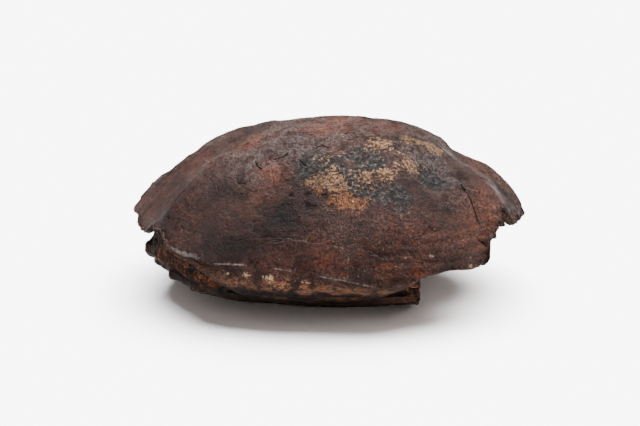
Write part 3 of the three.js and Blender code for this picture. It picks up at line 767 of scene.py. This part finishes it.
def bone(name):
    """Mineralised bone of the carapace: red-brown, with a painted sheen on top, ochre earth and black crust.
    Each layer covers the last by a paint or a noise cut at two levels."""
    s = Surface(name, Specular_IOR_Level=0.04)
    matt = s.paint("matt")
    broad, middle = s.noise(14, 5), s.noise(4.5, 6, 0.65)
    fine, grain = s.noise(1.4, 5, 0.7), s.noise(0.5, 3, 0.7)
    fine_grain = fine * 0.4 + grain * 0.6
    streaks = s.noise(3, 5, 0.7, stretch=(0.42, 1, 1.4), shift=3)
    crisp = (s.noise(0.85, 2, 0.6, shift=8) * 0.5 + fine * 0.3 + grain * 0.2).step(0.34, 0.66)
    fibres = (s.noise(1.3, 4, 0.7, stretch=(0.14, 1, 1.5), shift=5) - 0.5) * s.paint("fibre") + 0.5

    color = s.blend(*BROWN, (broad * 0.55 + middle * 0.45).step(0.4, 0.6))
    color = s.blend(color, RED, s.paint("red") * (streaks * 0.6 + fine * 0.4).step(0.4, 0.58))
    color = s.blend(color, FIBRE, (fibres.step(0.5, 0.64) * middle.step(0.42, 0.6)) * 0.6)
    soot = (streaks * (0.5 - matt * 0.3) + fine * 0.5 + matt * 0.15).step(0.52, 0.63)
    color = s.blend(color, SOOT, soot * 0.85)
    color = s.blend(color, WARM, s.paint("warm") * (fine * 0.5 + streaks * 0.5).step(0.36, 0.58) * 0.6)
    # Painted sheen: a paler colour laid where the top light reflects off the upper dome
    color = s.blend(color, GREY, s.paint("painted_sheen") * (middle * 0.7 + fine * 0.3).step(0.38, 0.62) * 0.75)

    crust = (s.paint("crust") + (middle - 0.5) * 2.2 + (fine - 0.5) * 1.2).step(0.5, 0.68)
    color = s.blend(color, s.blend(*CRUST, fine.step(0.46, 0.66)), crust * 0.92)
    speckle = (fine - 0.5) * 2.6 + (grain - 0.5) * 2.0
    ochre = (s.paint("ochre") + speckle * 1.25 + (middle - 0.5) * 2.2).step(0.66, 0.86)
    color = s.blend(color, s.blend(*OCHRE, fine_grain.step(0.38, 0.62)), ochre * 0.92)
    orange = (s.paint("orange") + speckle + (middle - 0.5) * 2.0).step(0.7, 0.88)
    color = s.blend(color, s.blend(*ORANGE, fine_grain.step(0.4, 0.62)), orange * 0.95)

    underside = s.paint("under") * (middle * 0.6 + fine * 0.4).step(0.45, 0.57)
    color = s.blend(color, UNDERSIDE, underside * 0.8)
    chipped = s.blend(*CHIPPED, (fine * 0.6 + grain * 0.4).step(0.42, 0.6))
    color = s.blend(color, chipped, s.paint("chipped") * 0.8)
    dust = s.paint("dust") + (fine * 0.6 + grain * 0.4 + middle * 0.4 - 0.7) * 3.5
    color = s.blend(color, DUST, dust.step(0.7, 1.0))
    color = s.blend(color, SEAM, s.paint("seam") * fine.step(0.35, 0.5) * 0.95)
    # Worn front rim, and the painted highlight along the keel
    rubbed_and_highlit = s.paint("wear_and_highlight") + (fine - 0.5) * 2 + (grain - 0.5) * 1.2
    color = s.blend(color, RUBBED_AND_HIGHLIGHT, rubbed_and_highlit.step(0.4, 1.15) * 0.85)

    cells = s.node("ShaderNodeTexVoronoi", {"Vector": s.place, "Scale": 260.0})
    specks = (1 - cells.step(0.06, 0.13)) * middle.step(0.48, 0.58)
    flecks = (s.paint("fleck") + (fine - 0.5) * 1.6).step(0.45, 0.75)
    color = s.blend(color, SPECK, (specks * 0.8 + flecks).clip())
    color = s.blend(color, GRIT, grain.step(0.62, 0.7) * middle.step(0.42, 0.6) * 0.6)
    # Painted shade in the relief's hollows and pits, with dark grain from the noise
    dark = s.paint("pit").step(0.05, 0.4) + s.paint("hollow").step(0.25, 0.8) * 0.5
    dark = (dark + (1 - fine.step(0.3, 0.42)) * 0.8).clip()
    color = s.blend(color, HOLLOW, dark * 0.7)
    hairs = (s.line("margin", 0.04, 0.3) + s.line("shoulder", 0.04, 0.3) + s.line("short", 0.04, 0.3)).clip()
    color = s.blend(color, HAIRLINE, hairs * fine.step(0.36, 0.56) * 0.55)
    split = s.line("crack", 0.08, 0.34)
    color = s.blend(color, SPLIT, split)

    roughness = (fine * 0.5 + 0.17 + ochre * 0.3 - s.paint("painted_sheen") * 0.05 + matt * 0.8).clip()
    height = middle * 0.6 + fine * 0.7 + grain * 0.3 + crisp * 0.25 + fibres * 0.6
    height = height + streaks * (0.35 - matt * 0.35) + ochre * 0.3 - crust * 0.2 - hairs * 0.35 - split * 1.2
    depth = s.paint("tone") * (crisp * 0.13 + grain.step(0.4, 0.6) * 0.08 + 0.012)
    return s.finish(color, roughness, height, 0.95, 0.0013, depth)


def plastron_bone(name):
    """Darker bone of the plastron: browner up its side, with earth along the seam and pale grit."""
    s = Surface(name, Specular_IOR_Level=0.04)
    broad, fine = s.noise(12, 5, shift=7), s.noise(1.1, 5, 0.7)
    middle = s.noise(3.5, 6, 0.65, stretch=(0.5, 1, 1))
    color = s.blend(*PLATE, (broad * 0.5 + middle * 0.5).step(0.4, 0.6))
    color = s.blend(color, PLATE_SIDE, s.paint("side") * (middle * 0.6 + fine * 0.4).step(0.48, 0.62) * 0.8)
    crust = (s.paint("crust") * 0.7 + (fine + middle - 1.0) * 1.9).step(0.5, 0.8)
    color = s.blend(color, PLATE_EARTH, crust * 0.85)
    color = s.blend(color, PLATE_FLECK, (s.paint("fleck") + (fine - 0.5) * 4).step(0.65, 0.95))
    color = s.blend(color, PLATE_GRIT, fine.step(0.64, 0.72) * 0.6)
    color = s.blend(color, WORN, s.paint("worn") * fine.step(0.4, 0.6) * 0.7)
    # Painted shade where the relief sinks, with dark grain from the noise
    hollow = (s.paint("hollow").step(0.15, 0.6) + 1 - fine.step(0.34, 0.46)).clip()
    color = s.blend(color, PLATE_HOLLOW, hollow * 0.85)
    roughness = (middle * 0.3 + fine * 0.3 + 0.25).clip()
    depth = s.paint("tone") * (fine.step(0.38, 0.62) * 0.08 + 0.06)
    return s.finish(color, roughness, middle * 0.8 + fine * 0.9, 1.0, 0.0014, depth)


def earth(name):
    """Hardened earth: rough, orange-brown, with painted shade in its hollows and pale grit."""
    s = Surface(name, Specular_IOR_Level=0.03)
    broad, middle, fine = s.noise(9, 5, shift=11), s.noise(3, 6, 0.7), s.noise(0.9, 5, 0.75)
    color = s.blend(*EARTH, (broad * 0.5 + middle * 0.5).step(0.4, 0.6))
    color = s.blend(color, EARTH_CLOD, (middle * 0.35 + fine * 0.5 + broad * 0.15).step(0.52, 0.6) * 0.8)
    # Painted shade where the relief sinks, with dark grain from the noise
    hollow = (s.paint("hollow").step(0.1, 0.6) + 1 - fine.step(0.34, 0.46)).clip()
    color = s.blend(color, EARTH_HOLLOW, hollow * 0.9)
    color = s.blend(color, EARTH_GRIT, fine.step(0.6, 0.7) * 0.7)
    color = s.blend(color, WORN, s.paint("worn") * fine.step(0.4, 0.6) * 0.7)
    roughness = (fine * 0.3 + 0.55).clip()
    depth = s.paint("tone") * (fine.step(0.38, 0.62) * 0.09 + 0.07)
    return s.finish(color, roughness, middle * 1.1 + fine * 1.2, 1.0, 0.002, depth)


# Suns as strength, spread and tilt in degrees, and colour: a broad one from above and two weak warm fills
WHITE_LIGHT, WARM_LIGHT = (1, 1, 1), (1, 0.86, 0.82)
SUNS = {"key": (44.0, 62, (-6, 8, 0), WHITE_LIGHT), "front": (1.8, 60, (50, -30, 0), WARM_LIGHT),
        "side": (2.3, 45, (14, 44, 0), WARM_LIGHT)}
SKY_STRENGTH, FLOOR_HALF, FLOOR_GREY = 0.15, 20, 0.56


def studio():
    """Pale floor, the suns and a weak even sky."""
    floor_mesh = bpy.data.meshes.new("floor")
    corners = [(-FLOOR_HALF, -FLOOR_HALF, 0), (FLOOR_HALF, -FLOOR_HALF, 0),
               (FLOOR_HALF, FLOOR_HALF, 0), (-FLOOR_HALF, FLOOR_HALF, 0)]
    floor_mesh.from_pydata(corners, [], [(0, 1, 2, 3)])
    floor = bpy.data.objects.new("floor", floor_mesh)
    bpy.context.collection.objects.link(floor)
    paper = Surface("floor_paper", Roughness=0.9, Specular_IOR_Level=0.0)
    plug(paper.tree, paper.shader.inputs["Base Color"], (FLOOR_GREY,) * 3)
    floor_mesh.materials.append(paper.material)
    world = bpy.data.worlds.new("sky")
    bpy.context.scene.world = world
    world.use_nodes = True
    sky = world.node_tree.nodes["Background"]
    plug(world.node_tree, sky.inputs["Color"], (1, 1, 1))
    plug(world.node_tree, sky.inputs["Strength"], SKY_STRENGTH)
    for name, (strength, spread, tilt, color) in SUNS.items():
        lamp = bpy.data.lights.new(name, "SUN")
        lamp.energy, lamp.angle, lamp.color = strength, math.radians(spread), color
        holder = bpy.data.objects.new(name, lamp)
        holder.rotation_euler = [math.radians(v) for v in tilt]
        bpy.context.collection.objects.link(holder)


# The photograph's view: place in metres, degrees below level, and the lens through its pixels
EYE, LOOK_DOWN = (-0.0038, -0.319, 0.122), 16.3
LENS_PIXELS, PHOTO_PIXELS, SENSOR = 900, 640, 36


def camera():
    """A camera square to the near side, looking down a little."""
    lens = bpy.data.cameras.new("camera")
    lens.sensor_width, lens.lens = SENSOR, LENS_PIXELS / PHOTO_PIXELS * SENSOR
    lens.clip_start, lens.clip_end = 0.01, 50
    holder = bpy.data.objects.new("camera", lens)
    holder.location = EYE
    holder.rotation_euler = (math.radians(90 - LOOK_DOWN), 0, 0)
    bpy.context.collection.objects.link(holder)
    bpy.context.scene.camera = holder


camera()
studio()
for make, node, slot, material in (
    (make_carapace, "carapace", "carapace_bone", bone("carapace_bone")),
    (make_plastron, "plastron", "plastron_bone", plastron_bone("plastron_bone")),
    (make_earth, "earth_fill", "hardened_earth", earth("hardened_earth")),
):
    piece = make()
    piece.data.materials.append(material)
    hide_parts(node)
